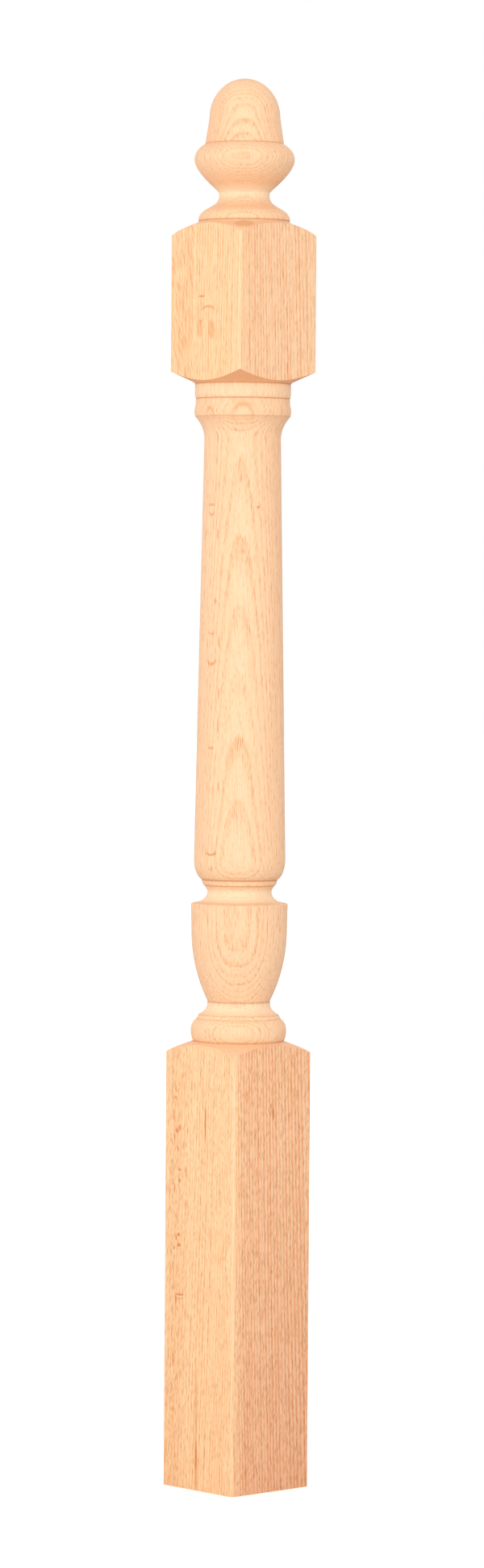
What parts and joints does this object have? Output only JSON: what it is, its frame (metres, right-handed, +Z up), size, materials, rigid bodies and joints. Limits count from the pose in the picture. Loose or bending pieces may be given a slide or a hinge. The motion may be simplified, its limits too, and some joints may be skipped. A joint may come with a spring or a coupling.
{
  "type": "newel post",
  "caption": "Turned hardwood stair newel post: acorn top, square upper block, tapered round shaft, vase and torus turnings, long square lower block.",
  "frame": {"origin": "centre of the flat sawn foot of the lower block", "axes": "+Z up along the turning axis; the faces of the two square blocks look along +X, -X, +Y and -Y"},
  "size_m": [0.0888, 0.0888, 1.2192],
  "materials": {
    "oak": "sanded, unfinished"
  },
  "bodies": {
    "root": {"newel_post": "oak"}
  },
  "joints": []
}
